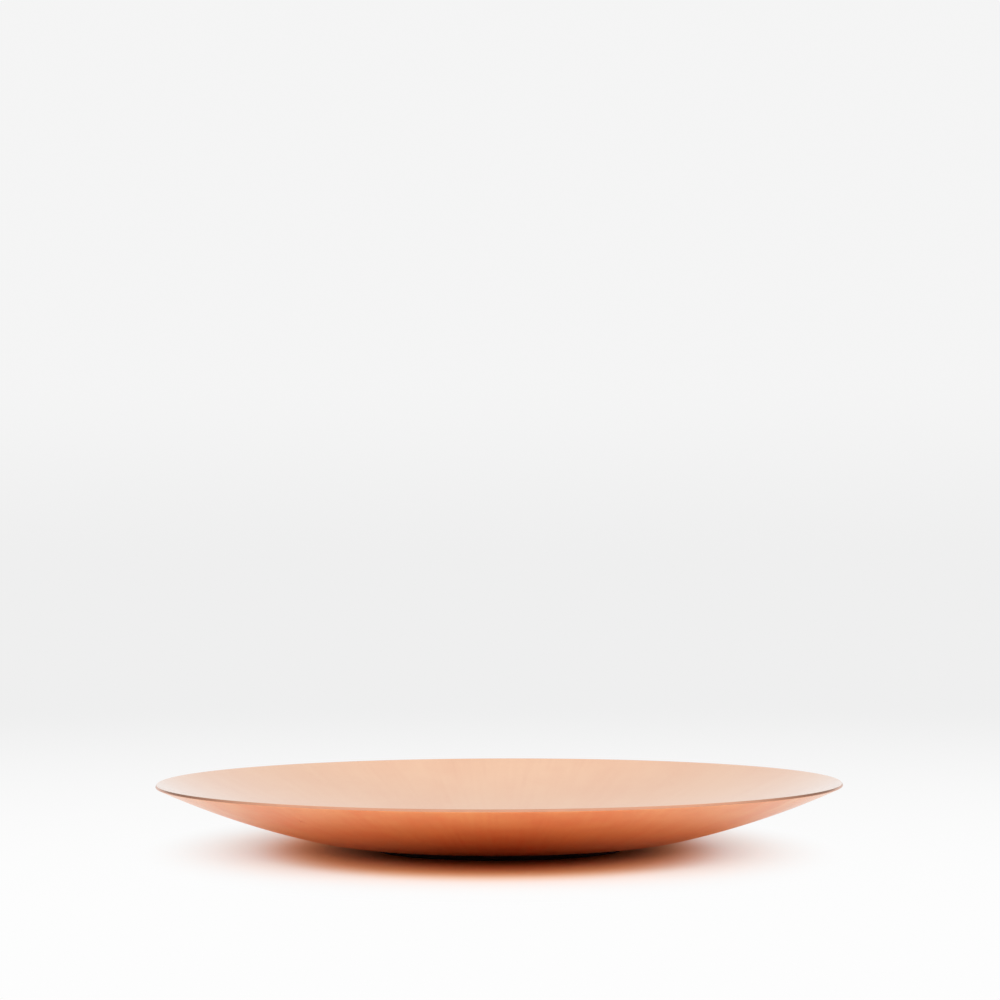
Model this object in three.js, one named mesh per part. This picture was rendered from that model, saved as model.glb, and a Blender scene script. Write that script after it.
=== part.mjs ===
// Dished copper drink coaster on a thin rubber foot.
// Millimetres, +Z up. The origin is the middle of the foot's underside, where it meets the table.

import * as THREE from 'three';

// Copper dish, formed from one round of sheet
const DISH_DIAMETER = 120; // across the rim
const SHEET = 0.5; // thickness of the copper
const BOWL_RADIUS = 144; // underside of the dished wall
const BASE_DIAMETER = 48; // flat face pressed under the dish
const BASE_BEND = 45; // underside of the bend from the flat face into the wall
const RIM_ROUND = 0.08; // softened corners of the cut edge

// Rubber foot, and the adhesive disc that holds it to the flat face
const FOOT_THICKNESS = 1;
const FOOT_INSET = 2; // from the edge of the flat face in to the foot
const FOOT_ROUND = 0.25; // softened corners of the foot
const ADHESIVE_THICKNESS = 0.2;
const ADHESIVE_INSET = 0.5; // from the edge of the foot in to the adhesive

// Facets
const TURN_STEPS = 72;
const WALL_STEPS = 10;
const BEND_STEPS = 4;
const ROUND_STEPS = 3;

// Heights and radii that follow from the sizes above
const footRadius = BASE_DIAMETER / 2 - FOOT_INSET;
const adhesiveRadius = footRadius - ADHESIVE_INSET;
const adhesiveBottom = FOOT_THICKNESS;
const dishBottom = adhesiveBottom + ADHESIVE_THICKNESS;

const QUARTER_TURN = Math.PI / 2;

// Profiles hold distance from the axis in x and height in y.
// Angles start straight down and turn outwards, so a quarter turn points away from the axis.
function polar(centre, radius, angle) {
  return new THREE.Vector2(
    centre.x + radius * Math.sin(angle),
    centre.y - radius * Math.cos(angle),
  );
}

function arc(centre, radius, from, to, steps) {
  const points = [];
  for (let step = 0; step <= steps; step += 1) {
    points.push(polar(centre, radius, from + ((to - from) * step) / steps));
  }
  return points;
}

function axisPoint(height) {
  return new THREE.Vector2(0, height);
}

// Underside from the axis out to the rim, round the cut edge, and back along the inside.
// The bend is tangent to the flat face and to the wall, whose arc is centred on the axis.
function dishProfile() {
  const bendCentre = new THREE.Vector2(BASE_DIAMETER / 2, dishBottom + BASE_BEND);
  const bowlCentre = axisPoint(
    bendCentre.y + Math.sqrt((BOWL_RADIUS - BASE_BEND) ** 2 - bendCentre.x ** 2),
  );
  const bendAngle = Math.asin(bendCentre.x / (BOWL_RADIUS - BASE_BEND));

  const rimRound = Math.min(RIM_ROUND, SHEET / 2);
  const lowerRoundRadius = BOWL_RADIUS - rimRound;
  const rimAngle = Math.asin((DISH_DIAMETER / 2 - rimRound) / lowerRoundRadius);
  const lowerRound = polar(bowlCentre, lowerRoundRadius, rimAngle);
  const upperRound = polar(bowlCentre, BOWL_RADIUS - SHEET + rimRound, rimAngle);
  const edgeAngle = rimAngle + QUARTER_TURN;

  return [
    axisPoint(dishBottom),
    ...arc(bendCentre, BASE_BEND, 0, bendAngle, BEND_STEPS),
    ...arc(bowlCentre, BOWL_RADIUS, bendAngle, rimAngle, WALL_STEPS).slice(1),
    ...arc(lowerRound, rimRound, rimAngle, edgeAngle, ROUND_STEPS).slice(1),
    ...arc(upperRound, rimRound, edgeAngle, edgeAngle + QUARTER_TURN, ROUND_STEPS),
    ...arc(bowlCentre, BOWL_RADIUS - SHEET, rimAngle, bendAngle, WALL_STEPS).slice(1),
    ...arc(bendCentre, BASE_BEND - SHEET, bendAngle, 0, BEND_STEPS).slice(1),
    axisPoint(dishBottom + SHEET),
  ];
}

// Flat disc with both of its corners rounded.
function discProfile(radius, bottom, thickness, cornerRound) {
  const round = Math.min(cornerRound, thickness / 2);
  const lowerRound = new THREE.Vector2(radius - round, bottom + round);
  const upperRound = new THREE.Vector2(radius - round, bottom + thickness - round);
  return [
    axisPoint(bottom),
    ...arc(lowerRound, round, 0, QUARTER_TURN, ROUND_STEPS),
    ...arc(upperRound, round, QUARTER_TURN, 2 * QUARTER_TURN, ROUND_STEPS),
    axisPoint(bottom + thickness),
  ];
}

// Flat disc cut square.
function squareDiscProfile(radius, bottom, thickness) {
  return [
    axisPoint(bottom),
    new THREE.Vector2(radius, bottom),
    new THREE.Vector2(radius, bottom + thickness),
    axisPoint(bottom + thickness),
  ];
}

// Profile turned about the upright axis.
function turned(name, profile, material) {
  const geometry = new THREE.LatheGeometry(profile, TURN_STEPS);
  geometry.rotateX(QUARTER_TURN);
  const mesh = new THREE.Mesh(geometry, material);
  mesh.name = name;
  return mesh;
}

const satinCopper = new THREE.MeshStandardMaterial({ color: '#d98f68', roughness: 0.38, metalness: 1 });
const blackRubber = new THREE.MeshStandardMaterial({ color: '#1b1a1a', roughness: 0.85, metalness: 0 });
const clearAdhesive = new THREE.MeshStandardMaterial({ color: '#d8d4c8', roughness: 0.4, metalness: 0 });

const coaster = new THREE.Group();
coaster.add(
  turned('copper_dish', dishProfile(), satinCopper),
  turned(
    'adhesive_disc',
    squareDiscProfile(adhesiveRadius, adhesiveBottom, ADHESIVE_THICKNESS),
    clearAdhesive,
  ),
  turned('rubber_foot', discProfile(footRadius, 0, FOOT_THICKNESS, FOOT_ROUND), blackRubber),
);

export default coaster;
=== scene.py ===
"""Copper drink coaster: a dished copper sheet on a glued rubber foot, dressed and set on a pale table.

Metres, +Z up, with the origin under the middle of the foot and the camera on the -Y side.
"""

import logging
import math
from dataclasses import dataclass
from enum import Enum
from typing import Any, Optional, Union

import bmesh
import bpy
from mathutils import Euler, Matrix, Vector


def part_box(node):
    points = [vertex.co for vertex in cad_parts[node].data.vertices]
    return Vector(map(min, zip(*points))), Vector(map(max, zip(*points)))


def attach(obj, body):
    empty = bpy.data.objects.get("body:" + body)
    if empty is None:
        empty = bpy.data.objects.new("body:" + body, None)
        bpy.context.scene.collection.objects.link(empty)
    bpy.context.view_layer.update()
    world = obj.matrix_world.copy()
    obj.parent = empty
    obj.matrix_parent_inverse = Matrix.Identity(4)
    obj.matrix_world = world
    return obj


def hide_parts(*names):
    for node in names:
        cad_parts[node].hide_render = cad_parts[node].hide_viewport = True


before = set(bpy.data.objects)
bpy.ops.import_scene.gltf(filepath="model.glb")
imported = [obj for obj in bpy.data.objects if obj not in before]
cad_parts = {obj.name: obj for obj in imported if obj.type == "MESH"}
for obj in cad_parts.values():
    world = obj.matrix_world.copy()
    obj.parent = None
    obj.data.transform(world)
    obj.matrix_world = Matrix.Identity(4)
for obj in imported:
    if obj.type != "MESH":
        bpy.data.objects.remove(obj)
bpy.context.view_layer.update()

BODY = "root"
UP = Vector((0.0, 0.0, 1.0))
FULL_TURN = 2.0 * math.pi
QUARTER_TURN = math.pi / 2.0
SHARP_ANGLE = math.radians(45.0)  # corners steeper than this are shaded as edges
MERGE_DISTANCE = 1e-7
LEVEL_PART = (1.0, 1.0, 0.0)  # times a vector, leaves its level part
NOISE_MIDDLE = 0.5  # mean of a noise value
HORIZON_WHITE = 0.863  # where the far table meets the backdrop

# Sockets of a Mix node that mixes colours
MIX_FACTOR = 0
MIX_FIRST_COLOUR = 6
MIX_SECOND_COLOUR = 7
MIX_COLOUR_RESULT = 2

Colour = tuple[float, float, float]
Band = tuple[float, float]
log = logging.getLogger("coaster")


class Signal:
    """An output socket that can be used in arithmetic, adding Math nodes as it goes."""

    def __init__(self, graph: "ShaderGraph", socket: bpy.types.NodeSocket) -> None:
        """Wraps a socket.

        Args:
            graph: the graph that the socket belongs to.
            socket: an output socket of one of its nodes.
        """
        self.graph = graph
        self.socket = socket

    def _math(self, operation: str, first: "Operand", second: "Operand") -> "Signal":
        """Adds a Math node.

        Args:
            operation: the node's operation.
            first: first operand.
            second: second operand.

        Returns:
            The node's value.
        """
        return self.graph.add("ShaderNodeMath", {"operation": operation}, {0: first, 1: second})

    def __add__(self, other: "Operand") -> "Signal":
        """Sum."""
        return self._math("ADD", self, other)

    def __radd__(self, other: "Operand") -> "Signal":
        """Sum with a number on the left."""
        return self._math("ADD", other, self)

    def __sub__(self, other: "Operand") -> "Signal":
        """Difference."""
        return self._math("SUBTRACT", self, other)

    def __rsub__(self, other: "Operand") -> "Signal":
        """Difference with a number on the left."""
        return self._math("SUBTRACT", other, self)

    def __mul__(self, other: "Operand") -> "Signal":
        """Product."""
        return self._math("MULTIPLY", self, other)

    def __rmul__(self, other: "Operand") -> "Signal":
        """Product with a number on the left."""
        return self._math("MULTIPLY", other, self)

    def between(self, low: "Operand", high: "Operand") -> "Signal":
        """The value that goes from low, where this one is 0, to high, where it is 1."""
        return low + self * (high - low)


Operand = Union[Signal, float]


@dataclass(frozen=True)
class Noise:
    """Fractal noise: the size of its largest waves, its octaves and the weight of the finer ones."""

    size: float
    octaves: float
    fineness: float = 0.5


class ShaderGraph:
    """The node tree of one material or of the world."""

    def __init__(self, owner: Union[bpy.types.Material, bpy.types.World]) -> None:
        """Empties the owner's node tree and adds its output node.

        Args:
            owner: the material or world to write nodes into.
        """
        owner.use_nodes = True
        self.tree = owner.node_tree
        self.tree.nodes.clear()
        kind = "World" if isinstance(owner, bpy.types.World) else "Material"
        self.output = self.tree.nodes.new(f"ShaderNodeOutput{kind}")

    def add(
        self,
        kind: str,
        settings: Optional[dict[str, Any]] = None,
        inputs: Optional[dict[Union[str, int], Any]] = None,
        output: Union[str, int] = 0,
    ) -> Signal:
        """Adds any node.

        Args:
            kind: Blender's name of the node type.
            settings: node properties, set before the sockets.
            inputs: socket name or index to a value or a signal.
            output: name or index of the output to return.

        Returns:
            The chosen output.
        """
        node = self.tree.nodes.new(kind)
        for name, value in (settings or {}).items():
            setattr(node, name, value)
        for name, value in (inputs or {}).items():
            if isinstance(value, Signal):
                self.tree.links.new(value.socket, node.inputs[name])
            else:
                node.inputs[name].default_value = value
        return Signal(self, node.outputs[output])

    def noise(self, vector: Signal, noise: Noise) -> Signal:
        """Fractal noise from 0 to 1.

        Args:
            vector: where to sample it.
            noise: its size and make-up.

        Returns:
            The noise value.
        """
        sockets = {
            "Vector": vector,
            "Scale": 1.0 / noise.size,
            "Detail": noise.octaves,
            "Roughness": noise.fineness,
        }
        return self.add("ShaderNodeTexNoise", {}, sockets, "Fac")

    def ramp(self, value: Signal, band: Band) -> Signal:
        """Smooth step over a band of values.

        Args:
            value: the value to map.
            band: where the step is 0 and where it is 1.

        Returns:
            The step.
        """
        low, high = band
        sockets = {"Value": value, "From Min": low, "From Max": high}
        return self.add("ShaderNodeMapRange", {"interpolation_type": "SMOOTHSTEP"}, sockets)

    def mix(self, factor: Operand, first: Any, second: Any) -> Signal:
        """Mixes two colours.

        Args:
            factor: 0 gives the first, 1 the second.
            first: colour with alpha, or a signal.
            second: colour with alpha, or a signal.

        Returns:
            The mixed colour.
        """
        settings = {"data_type": "RGBA", "clamp_factor": True}
        sockets = {MIX_FACTOR: factor, MIX_FIRST_COLOUR: first, MIX_SECOND_COLOUR: second}
        return self.add("ShaderNodeMix", settings, sockets, MIX_COLOUR_RESULT)

    def vector(self, operation: str, first: Any, second: Any = None, output: str = "Vector") -> Signal:
        """Vector maths.

        Args:
            operation: the node's operation.
            first: first vector.
            second: second vector, where the operation has one.
            output: Vector or Value.

        Returns:
            The result.
        """
        inputs = {0: first} if second is None else {0: first, 1: second}
        return self.add("ShaderNodeVectorMath", {"operation": operation}, inputs, output)

    def bump(self, height: Signal, relief: float, strength: float) -> Signal:
        """Normals of a surface with relief.

        Args:
            height: the relief's height, from 0 to 1.
            relief: height of 1 in metres.
            strength: share of the relief that shows.

        Returns:
            The normal.
        """
        return self.add(
            "ShaderNodeBump", {}, {"Strength": strength, "Distance": relief, "Height": height}
        )

    def rays(self) -> tuple[Signal, Signal]:
        """Tells the rays that show a backdrop from those that only carry its light.

        Returns:
            1 for rays from the camera, and 1 for mirrored or transmitted ones.
        """
        camera = self.add("ShaderNodeLightPath", output="Is Camera Ray")
        paths = camera.socket.node.outputs
        mirrored = Signal(self, paths["Is Glossy Ray"])
        through = Signal(self, paths["Is Transmission Ray"])
        return camera, self.add("ShaderNodeMath", {"operation": "MAXIMUM"}, {0: mirrored, 1: through})

    def surface(self, shader: Signal) -> None:
        """Sends a shader to the output."""
        self.tree.links.new(shader.socket, self.output.inputs["Surface"])


def opaque(colour: Colour) -> tuple[float, float, float, float]:
    """The colour with full alpha."""
    return (*colour, 1.0)


def grey(level: float) -> tuple[float, float, float, float]:
    """An opaque neutral colour."""
    return opaque((level, level, level))


def new_material(name: str) -> tuple[bpy.types.Material, ShaderGraph]:
    """Makes an empty node material.

    Args:
        name: its name.

    Returns:
        The material and its graph.
    """
    material = bpy.data.materials.new(name)
    return material, ShaderGraph(material)


@dataclass(frozen=True)
class CopperFinish:
    """Hand-rubbed satin copper under a thin lacquer. Lengths are in metres, colours are linear."""

    name: str
    # The two tones that the mottling mixes; on the underside both are also darker and more saturated with
    # painted warm shade.
    rubbed: Colour
    tarnished: Colour
    roughness: float
    tarnish: float
    clouds: Noise = Noise(0.014, 4.0, 0.55)
    cloud_band: Band = (0.32, 0.72)
    cloud_share: float = 0.7
    cloud_roughness: float = 0.10
    streaks: Noise = Noise(1.0, 3.0, 0.6)
    streaks_per_radian: float = 46.0
    streak_length: float = 0.02
    streak_band: Band = (0.35, 0.75)
    streak_share: float = 0.3
    streak_roughness: float = 0.12
    streak_depth: float = 0.7
    grain: Noise = Noise(0.00035, 2.0)
    grain_depth: float = 0.3
    relief: float = 0.000012
    relief_strength: float = 0.5
    lacquer: float = 0.0
    lacquer_roughness: float = 0.2

    def material(self) -> bpy.types.Material:
        """Writes the shader.

        Returns:
            The finished material.
        """
        material, graph = new_material(self.name)
        place = graph.add("ShaderNodeTexCoord", output="Object")
        clouds = graph.noise(place, self.clouds)
        streaks = self._streaks(graph, place)
        grain = graph.noise(place, self.grain)

        blotches = graph.ramp(clouds, self.cloud_band) * self.cloud_share
        rub_marks = graph.ramp(streaks, self.streak_band) * self.streak_share
        wear = (blotches + rub_marks) * self.tarnish
        cloud_haze = (clouds - NOISE_MIDDLE) * self.cloud_roughness
        streak_haze = (streaks - NOISE_MIDDLE) * self.streak_roughness
        height = streaks * self.streak_depth + grain * self.grain_depth
        sockets = {
            "Base Color": graph.mix(wear, opaque(self.rubbed), opaque(self.tarnished)),
            "Metallic": 1.0,
            "Roughness": self.roughness + cloud_haze + streak_haze,
            "Coat Weight": self.lacquer,
            "Coat Roughness": self.lacquer_roughness,
            "Normal": graph.bump(height, self.relief, self.relief_strength),
        }
        graph.surface(graph.add("ShaderNodeBsdfPrincipled", {}, sockets))
        return material

    def _streaks(self, graph: ShaderGraph, place: Signal) -> Signal:
        """Rubbing marks that run from the middle to the rim.

        Args:
            graph: the material's graph.
            place: object coordinates.

        Returns:
            The marks, from 0 to 1.
        """
        flat = graph.vector("MULTIPLY", place, LEVEL_PART)
        distance = graph.vector("LENGTH", flat, output="Value")
        outwards = graph.vector("NORMALIZE", flat)
        around = graph.vector("MULTIPLY", outwards, (self.streaks_per_radian,) * 3)
        along = graph.add("ShaderNodeCombineXYZ", {}, {"Z": distance * (1.0 / self.streak_length)})
        return graph.noise(graph.vector("ADD", around, along), self.streaks)


@dataclass(frozen=True)
class RubberFinish:
    """Matt moulded rubber, its near-black tinted warm with painted copper bounce light."""

    name: str = "black_rubber"
    # Near-black with a red cast: the red is painted copper bounce light.
    colour: Colour = (0.024, 0.010, 0.008)
    scuffed: Colour = (0.052, 0.037, 0.032)
    roughness: float = 0.78
    gloss: float = 0.25
    grain: Noise = Noise(0.0004, 3.0)
    grain_roughness: float = 0.2
    scuffs: Noise = Noise(0.006, 5.0, 0.65)
    scuff_band: Band = (0.5, 0.75)
    scuff_share: float = 0.6
    relief: float = 0.00005
    relief_strength: float = 0.6

    def material(self) -> bpy.types.Material:
        """Writes the shader.

        Returns:
            The finished material.
        """
        material, graph = new_material(self.name)
        place = graph.add("ShaderNodeTexCoord", output="Object")
        grain = graph.noise(place, self.grain)
        scuffs = graph.ramp(graph.noise(place, self.scuffs), self.scuff_band) * self.scuff_share
        sockets = {
            "Base Color": graph.mix(scuffs, opaque(self.colour), opaque(self.scuffed)),
            "Roughness": self.roughness + (grain - NOISE_MIDDLE) * self.grain_roughness,
            "Specular IOR Level": self.gloss,
            "Normal": graph.bump(grain, self.relief, self.relief_strength),
        }
        graph.surface(graph.add("ShaderNodeBsdfPrincipled", {}, sockets))
        return material


@dataclass(frozen=True)
class AdhesiveFinish:
    """Milky acrylic adhesive film."""

    name: str = "clear_adhesive"
    colour: Colour = (0.55, 0.52, 0.46)
    cloudy: Colour = (0.68, 0.65, 0.58)
    roughness: float = 0.42
    clouds: Noise = Noise(0.004, 3.0)
    cloud_roughness: float = 0.2

    def material(self) -> bpy.types.Material:
        """Writes the shader.

        Returns:
            The finished material.
        """
        material, graph = new_material(self.name)
        place = graph.add("ShaderNodeTexCoord", output="Object")
        clouds = graph.noise(place, self.clouds)
        sockets = {
            "Base Color": graph.mix(clouds, opaque(self.colour), opaque(self.cloudy)),
            "Roughness": self.roughness + (clouds - NOISE_MIDDLE) * self.cloud_roughness,
        }
        graph.surface(graph.add("ShaderNodeBsdfPrincipled", {}, sockets))
        return material


class Side(Enum):
    """Which finish a face of the dish takes, by material slot."""

    UNDERSIDE = 0
    INSIDE = 1
    EDGE = 2


COPPER_FINISHES = {
    # The underside's copper is its own colour made darker and more saturated with painted warm shade and
    # copper bounce light from the table below.
    Side.UNDERSIDE: CopperFinish(
        name="copper_underside_painted_shade",
        rubbed=(1.0, 0.45, 0.13),
        tarnished=(0.93, 0.25, 0.04),
        roughness=0.235,
        tarnish=0.9,
        clouds=Noise(0.010, 4.0, 0.55),
        lacquer=0.35,
    ),
    Side.INSIDE: CopperFinish(
        name="copper_inside",
        rubbed=(0.93, 0.55, 0.34),
        tarnished=(0.88, 0.43, 0.25),
        roughness=0.18,
        tarnish=0.42,
        relief=0.000005,
        lacquer=1.0,
    ),
    # The edge finish is darker than the inside copper; the cut edge and a thin strip just inside the rim
    # take it, which darkens the rim line.
    Side.EDGE: CopperFinish(
        name="copper_edge",
        rubbed=(0.82, 0.41, 0.265),
        tarnished=(0.66, 0.32, 0.20),
        roughness=0.25,
        tarnish=0.3,
        clouds=Noise(0.004, 4.0, 0.55),
    ),
}


def finish_piece(name: str, shape: bmesh.types.BMesh, node: str) -> bpy.types.Object:
    """Makes a shaped bmesh a piece of the coaster that stands for a CAD node.

    Args:
        name: the piece's name.
        shape: the finished shape, which is freed.
        node: the CAD node that it replaces.

    Returns:
        The piece.
    """
    mesh = bpy.data.meshes.new(name)
    shape.to_mesh(mesh)
    shape.free()
    mesh.shade_smooth()
    mesh.set_sharp_from_angle(angle=SHARP_ANGLE)
    piece = bpy.data.objects.new(name, mesh)
    bpy.context.scene.collection.objects.link(piece)
    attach(piece, BODY)
    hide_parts(node)
    log.info("%s: %d faces, stands for %s", name, len(mesh.polygons), node)
    return piece


def drawn_to(shape: bmesh.types.BMesh, start: bmesh.types.BMVert, end: Vector) -> bmesh.types.BMVert:
    """Draws a straight stretch of profile.

    Args:
        shape: the bmesh that holds the profile.
        start: the profile's last point.
        end: where the stretch ends.

    Returns:
        The profile's new last point.
    """
    made = bmesh.ops.extrude_vert_indiv(shape, verts=[start])["verts"]
    bmesh.ops.translate(shape, verts=made, vec=end - start.co)
    return made[0]


def swung(
    shape: bmesh.types.BMesh, start: bmesh.types.BMVert, centre: Vector, angle: float, steps: int
) -> bmesh.types.BMVert:
    """Draws an arc of profile, turning outwards and up.

    Args:
        shape: the bmesh that holds the profile.
        start: the profile's last point.
        centre: the arc's centre.
        angle: how far to turn.
        steps: straight steps in the arc.

    Returns:
        The profile's new last point.
    """
    made = bmesh.ops.spin(
        shape, geom=[start], cent=centre, axis=(0.0, -1.0, 0.0), angle=angle, steps=steps
    )
    return next(item for item in made["geom_last"] if isinstance(item, bmesh.types.BMVert))


def turned(shape: bmesh.types.BMesh, steps: int) -> None:
    """Turns a profile about the upright axis into a surface whose faces look outwards.

    Args:
        shape: the bmesh that holds the profile.
        steps: steps in the full turn.
    """
    bmesh.ops.spin(
        shape,
        geom=[*shape.verts, *shape.edges],
        cent=(0.0, 0.0, 0.0),
        axis=UP,
        angle=FULL_TURN,
        steps=steps,
        use_merge=True,
    )
    bmesh.ops.remove_doubles(shape, verts=shape.verts, dist=MERGE_DISTANCE)
    bmesh.ops.recalc_face_normals(shape, faces=shape.faces)
    lowest = min(shape.faces, key=lambda face: face.calc_center_median().z)
    if lowest.normal.z > 0.0:
        bmesh.ops.reverse_faces(shape, faces=shape.faces)


@dataclass
class CopperDish:
    """The dished copper sheet, in metres."""

    radius: float
    bottom: float
    sheet: float = 0.0005
    bowl_radius: float = 0.144
    base_radius: float = 0.024
    base_bend: float = 0.045
    base_rings: tuple[float, ...] = (0.4, 0.75, 1.0)
    rim_round: float = 0.00008
    rim_round_steps: int = 4
    rim_margin: float = 0.0005
    edge_finish_strip: float = 0.00015
    cut_outwardness: float = 0.8
    turn_steps: int = 224
    wall_steps: int = 26
    bend_steps: int = 8

    def build(self) -> bpy.types.Object:
        """Draws the underside's profile, turns it, thickens it and softens the rim.

        Returns:
            The dish, undressed.
        """
        shape = bmesh.new()
        self._draw_underside(shape)
        turned(shape, self.turn_steps)
        bmesh.ops.solidify(shape, geom=shape.faces[:], thickness=self.sheet)
        self._soften_rim(shape)
        for face in shape.faces:
            face.material_index = self._side(face).value
        return finish_piece("dish", shape, "copper_dish")

    def dress(self, dish: bpy.types.Object) -> None:
        """Gives each side of the dish its finish.

        Args:
            dish: the piece from build.
        """
        for side in Side:
            dish.data.materials.append(COPPER_FINISHES[side].material())

    def _draw_underside(self, shape: bmesh.types.BMesh) -> None:
        """Draws the flat base, the bend and the wall up to the rim.

        Args:
            shape: an empty bmesh.
        """
        bend_centre = Vector((self.base_radius, 0.0, self.bottom + self.base_bend))
        reach = self.bowl_radius - self.base_bend
        rise = math.sqrt(reach**2 - self.base_radius**2)
        bowl_centre = Vector((0.0, 0.0, bend_centre.z + rise))
        bend_angle = math.asin(self.base_radius / reach)
        round_angle = math.asin((self.radius - self.rim_round) / (self.bowl_radius - self.rim_round))
        margin_angle = self.rim_margin / self.bowl_radius
        rim_angle = round_angle + self.rim_round / self.bowl_radius

        point = shape.verts.new((0.0, 0.0, self.bottom))
        for share in self.base_rings:
            point = drawn_to(shape, point, Vector((self.base_radius * share, 0.0, self.bottom)))
        point = swung(shape, point, bend_centre, bend_angle, self.bend_steps)
        wall_angle = rim_angle - margin_angle - bend_angle
        point = swung(shape, point, bowl_centre, wall_angle, self.wall_steps)
        swung(shape, point, bowl_centre, margin_angle, 1)

    def _soften_rim(self, shape: bmesh.types.BMesh) -> None:
        """Rounds both corners of the cut edge.

        Args:
            shape: the thickened dish.
        """
        cut = {face for face in shape.faces if self._outwardness(face) > self.cut_outwardness}
        corners = [
            edge
            for edge in shape.edges
            if len(edge.link_faces) == 2 and (edge.link_faces[0] in cut) != (edge.link_faces[1] in cut)
        ]
        bmesh.ops.bevel(
            shape,
            geom=corners,
            offset=self.rim_round,
            segments=self.rim_round_steps,
            profile=0.5,
            affect="EDGES",
            material=-1,
        )

    def _side(self, face: bmesh.types.BMFace) -> Side:
        """Tells the cut edge, and the thin strip inside the rim that takes the edge's finish, from the two
        sides of the sheet.

        Args:
            face: a face of the dish.

        Returns:
            The side that it belongs to.
        """
        if face.normal.z < 0.0:
            return Side.EDGE if self._outwardness(face) > self.cut_outwardness else Side.UNDERSIDE
        at_rim = face.calc_center_median().xy.length > self.radius - self.edge_finish_strip
        return Side.EDGE if at_rim else Side.INSIDE

    @staticmethod
    def _outwardness(face: bmesh.types.BMFace) -> float:
        """How far a face looks away from the axis: 1 straight out, 0 up or down."""
        outwards = face.calc_center_median().xy.normalized()
        return face.normal.xy.dot(outwards)


@dataclass
class GluedFoot:
    """The rubber foot and the adhesive that holds it, in metres."""

    foot_radius: float
    foot_top: float
    adhesive_radius: float
    adhesive_top: float
    corner: float = 0.00025
    corner_steps: int = 5
    face_rings: tuple[float, ...] = (0.5, 0.95)
    turn_steps: int = 128

    def build(self) -> dict[str, bpy.types.Object]:
        """Turns the two discs.

        Returns:
            The foot and the adhesive, undressed, by name.
        """
        foot = self._disc(self.foot_radius, 0.0, self.foot_top, self.corner)
        film = self._disc(self.adhesive_radius, self.foot_top, self.adhesive_top, 0.0)
        return {
            "foot": finish_piece("foot", foot, "rubber_foot"),
            "adhesive": finish_piece("adhesive", film, "adhesive_disc"),
        }

    def dress(self, pieces: dict[str, bpy.types.Object]) -> None:
        """Gives the two discs their finishes.

        Args:
            pieces: the pieces from build.
        """
        pieces["foot"].data.materials.append(RubberFinish().material())
        pieces["adhesive"].data.materials.append(AdhesiveFinish().material())

    def _disc(self, radius: float, bottom: float, top: float, corner: float) -> bmesh.types.BMesh:
        """Turns a flat disc.

        Args:
            radius: its radius.
            bottom: height of its lower face.
            top: height of its upper face.
            corner: rounding of its corners, or 0 for square ones.

        Returns:
            The shape.
        """
        shape = bmesh.new()
        point = shape.verts.new((0.0, 0.0, bottom))
        for share in self.face_rings:
            point = drawn_to(shape, point, Vector((radius * share, 0.0, bottom)))
        point = drawn_to(shape, point, Vector((radius - corner, 0.0, bottom)))
        if corner > 0.0:
            lower_centre = Vector((radius - corner, 0.0, bottom + corner))
            upper_centre = Vector((radius - corner, 0.0, top - corner))
            point = swung(shape, point, lower_centre, QUARTER_TURN, self.corner_steps)
            point = drawn_to(shape, point, Vector((radius, 0.0, top - corner)))
            point = swung(shape, point, upper_centre, QUARTER_TURN, self.corner_steps)
        else:
            point = drawn_to(shape, point, Vector((radius, 0.0, top)))
        for share in (*reversed(self.face_rings), 0.0):
            point = drawn_to(shape, point, Vector((radius * share, 0.0, top)))
        turned(shape, self.turn_steps)
        return shape


@dataclass(frozen=True)
class Softbox:
    """A studio lamp that looks at the coaster. Angles are in degrees, azimuth 0 is the camera's side."""

    name: str
    azimuth: float
    elevation: float
    width: float
    height: float
    radiance: float
    distance: float = 1.0

    def light(self) -> None:
        """Puts the lamp up."""
        lamp = bpy.data.lights.new(self.name, "AREA")
        lamp.shape = "RECTANGLE"
        lamp.size = self.width
        lamp.size_y = self.height
        lamp.energy = self.radiance * math.pi * self.width * self.height
        aim = Euler((QUARTER_TURN - math.radians(self.elevation), 0.0, math.radians(self.azimuth)))
        holder = bpy.data.objects.new(self.name, lamp)
        holder.rotation_euler = aim
        holder.location = aim.to_matrix() @ Vector((0.0, 0.0, self.distance))
        holder.visible_camera = False
        holder.visible_glossy = False
        bpy.context.scene.collection.objects.link(holder)


@dataclass(frozen=True)
class Shadow:
    """Outline of the coaster's shadow on the table, past which emitted white paints light over it, in
    metres and degrees.
    """

    middle: tuple[float, float]
    turn: float
    narrowing: float

    def spread(self, graph: ShaderGraph, place: Signal) -> Signal:
        """Distance from the middle of the shadow, which is narrower from side to side.

        Args:
            graph: the table's graph.
            place: object coordinates.

        Returns:
            The distance, as measured towards the front.
        """
        sockets = {
            "Vector": place,
            "Location": (*self.middle, 0.0),
            "Rotation": (0.0, 0.0, math.radians(self.turn)),
            "Scale": (1.0 / self.narrowing, 1.0, 1.0),
        }
        outline = graph.add("ShaderNodeMapping", {"vector_type": "TEXTURE"}, sockets)
        return graph.vector("LENGTH", outline, output="Value")


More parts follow.
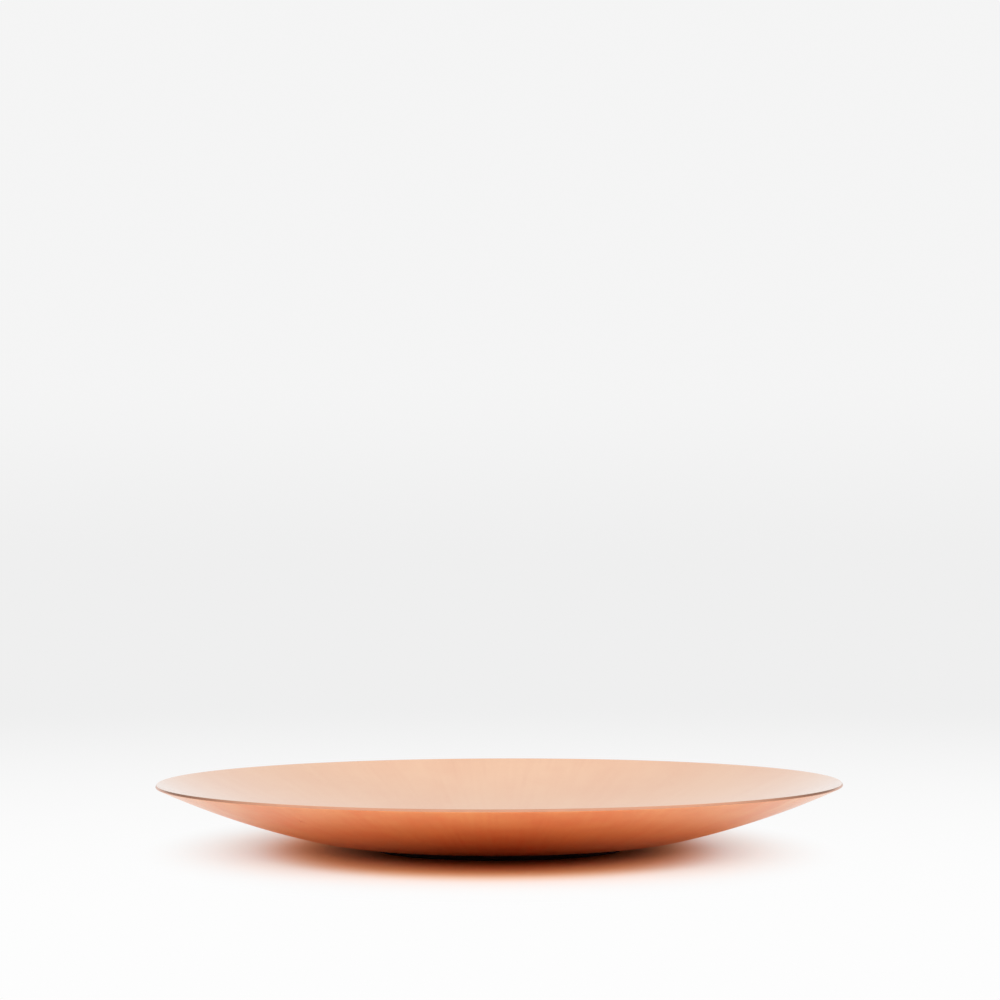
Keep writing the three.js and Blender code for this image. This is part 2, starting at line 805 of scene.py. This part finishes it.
@dataclass(frozen=True)
class Table:
    """White table with painted light round the coaster: a warm paper tint and a warm emitted glow paint
    copper bounce light into its shadow, and emitted white paints over the shadow's outer part. Bands are
    distances in metres over which one look turns into the next.
    """

    radius: float = 2.0
    segments: int = 96
    paper_white: float = 0.93
    # Paper colour in the shadow, tinted warm: painted copper bounce light.
    painted_bounce_paper: Colour = (0.92, 0.72, 0.48)
    # Emitted warm glow at the shadow's edge: painted copper bounce light.
    painted_bounce_glow: Colour = (0.96, 0.44, 0.20)
    painted_bounce_band: Band = (0.040, 0.058)
    # Outlines past which emitted white paints over the shadow, one for the camera and one for reflections.
    seen_shadow: Shadow = Shadow(middle=(-0.002, 0.0), turn=4.0, narrowing=1.376)
    mirrored_shadow: Shadow = Shadow(middle=(0.0, 0.002), turn=0.0, narrowing=1.14)
    shadow_band: Band = (0.036, 0.085)
    near_white: float = 0.983
    near_middle: float = -0.15
    sweep_band: Band = (0.05, 0.7)

    def build(self) -> bpy.types.Object:
        """Lays the table top.

        Returns:
            The table, undressed.
        """
        shape = bmesh.new()
        bmesh.ops.create_circle(shape, cap_ends=True, segments=self.segments, radius=self.radius)
        mesh = bpy.data.meshes.new("table")
        shape.to_mesh(mesh)
        shape.free()
        table = bpy.data.objects.new("table", mesh)
        bpy.context.scene.collection.objects.link(table)
        return table

    def dress(self, table: bpy.types.Object) -> None:
        """Paints white paper that holds the shadow, tinted and glowing warm near the coaster with painted
        copper bounce light, and away from it emitted white, the plain white that a camera sees, which also
        paints light over the shadow's outer part.

        Args:
            table: the table from build.
        """
        material, graph = new_material("table_white")
        place = graph.add("ShaderNodeTexCoord", output="Object")
        camera, mirrored = graph.rays()
        seen = self.seen_shadow.spread(graph, place)
        spread = mirrored.between(seen, self.mirrored_shadow.spread(graph, place))
        # Over the shadow band the camera and reflections see emitted white instead of the lit paper:
        # painted light over the shadow's outer part.
        painted_white_lift = graph.ramp(spread, self.shadow_band) * (camera + mirrored)
        # Painted copper bounce light: the warm paper tint and the warm glow turn white over this band.
        painted_bounce_fade = graph.ramp(spread, self.painted_bounce_band)
        paper = graph.mix(painted_bounce_fade, opaque(self.painted_bounce_paper), grey(self.paper_white))
        painted_glow_and_white = graph.mix(painted_bounce_fade, opaque(self.painted_bounce_glow), self._sweep(graph, place))
        layers = {
            0: painted_white_lift,
            1: graph.add("ShaderNodeBsdfDiffuse", {}, {"Color": paper}),
            2: graph.add("ShaderNodeEmission", {}, {"Color": painted_glow_and_white}),
        }
        graph.surface(graph.add("ShaderNodeMixShader", {}, layers))
        table.data.materials.append(material)

    def _sweep(self, graph: ShaderGraph, place: Signal) -> Signal:
        """Whites that go from the near table to the horizon, where the backdrop starts.

        Args:
            graph: the table's graph.
            place: object coordinates.

        Returns:
            The colour.
        """
        offset = graph.vector("SUBTRACT", place, (0.0, self.near_middle, 0.0))
        distance = graph.vector("LENGTH", offset, output="Value")
        return graph.mix(graph.ramp(distance, self.sweep_band), grey(self.near_white), grey(HORIZON_WHITE))


@dataclass(frozen=True)
class Backdrop:
    """The studio round the table.

    Bands are parts of a direction over which one look turns into the next. They run upwards, from 0 level
    to 1 straight up, and behind_band and gap_band run from -1 at the camera's side to 1 behind the table.
    """

    white: float = 0.91
    rise_band: Band = (0.0, 0.07)
    studio_band: Band = (0.07, 0.19)
    behind_band: Band = (0.86, 0.95)
    front_low: float = 0.65
    front_high: float = 1.0
    front_band: Band = (0.26, 0.45)
    gap_loss: float = 0.6
    gap_band: Band = (-0.2, 0.9)
    ceiling: float = 1.0
    ceiling_band: Band = (0.6, 0.8)
    zenith_loss: float = 0.45
    zenith_band: Band = (0.8, 0.99)
    room: float = 0.40
    room_band: Band = (0.02, 0.5)

    def paint(self) -> None:
        """Shows a white backdrop to the camera and to shiny surfaces, and lights the rest less."""
        world = bpy.data.worlds.new("studio")
        bpy.context.scene.world = world
        graph = ShaderGraph(world)
        direction = graph.add("ShaderNodeTexCoord", output="Generated")
        height = graph.add("ShaderNodeSeparateXYZ", {}, {"Vector": direction}, "Z")
        wall = graph.ramp(height, self.rise_band).between(HORIZON_WHITE, self.white)
        above = graph.ramp(height, self.studio_band)
        backdrop = above.between(wall, self._surroundings(graph, direction, height))
        room = graph.ramp(height, self.room_band) * self.room
        camera, mirrored = graph.rays()
        strength = (camera + mirrored).between(room, backdrop)
        sockets = {"Color": grey(1.0), "Strength": strength}
        graph.surface(graph.add("ShaderNodeBackground", {}, sockets))

    def _surroundings(self, graph: ShaderGraph, direction: Signal, height: Signal) -> Signal:
        """What stands round the table: backdrop behind, lamps in front, dim gaps between, and a ceiling.

        Args:
            graph: the world's graph.
            direction: where a ray goes.
            height: its upward part.

        Returns:
            The brightness seen that way.
        """
        level = graph.vector("NORMALIZE", graph.vector("MULTIPLY", direction, LEVEL_PART))
        backwards = graph.add("ShaderNodeSeparateXYZ", {}, {"Vector": level}, "Y")
        lamps = graph.ramp(height, self.front_band).between(self.front_low, self.front_high)
        sides = lamps * (1.0 - graph.ramp(backwards, self.gap_band) * self.gap_loss)
        walls = graph.ramp(backwards, self.behind_band).between(sides, self.white)
        covered = graph.ramp(height, self.ceiling_band).between(walls, self.ceiling)
        return covered * (1.0 - graph.ramp(height, self.zenith_band) * self.zenith_loss)


@dataclass(frozen=True)
class PhotoCamera:
    """The camera, where the photograph was taken from, in metres and degrees, its lens in millimetres."""

    distance: float = 0.5
    height: float = 0.04859
    side: float = 0.00028
    tilt: float = 1.44
    roll: float = 0.166
    lens: float = 102.17
    sensor: float = 36.0

    def place(self) -> None:
        """Stands the camera up and looks through it."""
        data = bpy.data.cameras.new("camera")
        data.sensor_width = self.sensor
        data.lens = self.lens
        camera = bpy.data.objects.new("camera", data)
        camera.location = (self.side, -self.distance, self.height)
        aim = Euler((QUARTER_TURN + math.radians(self.tilt), 0.0, 0.0)).to_quaternion()
        roll = Euler((0.0, 0.0, math.radians(-self.roll))).to_quaternion()
        camera.rotation_euler = (aim @ roll).to_euler()
        bpy.context.scene.collection.objects.link(camera)
        bpy.context.scene.camera = camera


@dataclass(frozen=True)
class Studio:
    """Table, backdrop, lamps and camera."""

    table: Table = Table()
    backdrop: Backdrop = Backdrop()
    camera: PhotoCamera = PhotoCamera()
    softboxes: tuple[Softbox, ...] = (
        Softbox("front_softbox", azimuth=0.0, elevation=35.0, width=0.6, height=0.3, radiance=4.4),
        Softbox("left_front_softbox", azimuth=-50.0, elevation=29.0, width=0.6, height=0.35, radiance=4.8),
        Softbox("right_front_softbox", azimuth=50.0, elevation=29.0, width=0.6, height=0.35, radiance=4.8),
        Softbox("left_softbox", azimuth=-98.0, elevation=19.0, width=0.5, height=0.35, radiance=5.0),
        Softbox("right_softbox", azimuth=98.0, elevation=19.0, width=0.5, height=0.35, radiance=5.7),
    )

    def build(self) -> None:
        """Sets up the whole studio."""
        self.table.dress(self.table.build())
        self.backdrop.paint()
        for softbox in self.softboxes:
            softbox.light()
        self.camera.place()
        bpy.context.scene.view_settings.view_transform = "Standard"


def main() -> None:
    """Builds the coaster on its frame and sets it in the studio."""
    logging.basicConfig(level=logging.INFO, format="%(name)s: %(message)s")
    Studio().build()

    dish_low, dish_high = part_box("copper_dish")
    dish = CopperDish(radius=dish_high.x, bottom=dish_low.z)
    dish.dress(dish.build())

    foot_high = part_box("rubber_foot")[1]
    adhesive_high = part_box("adhesive_disc")[1]
    foot = GluedFoot(
        foot_radius=foot_high.x,
        foot_top=foot_high.z,
        adhesive_radius=adhesive_high.x,
        adhesive_top=adhesive_high.z,
    )
    foot.dress(foot.build())


if __name__ == "__main__":
    main()
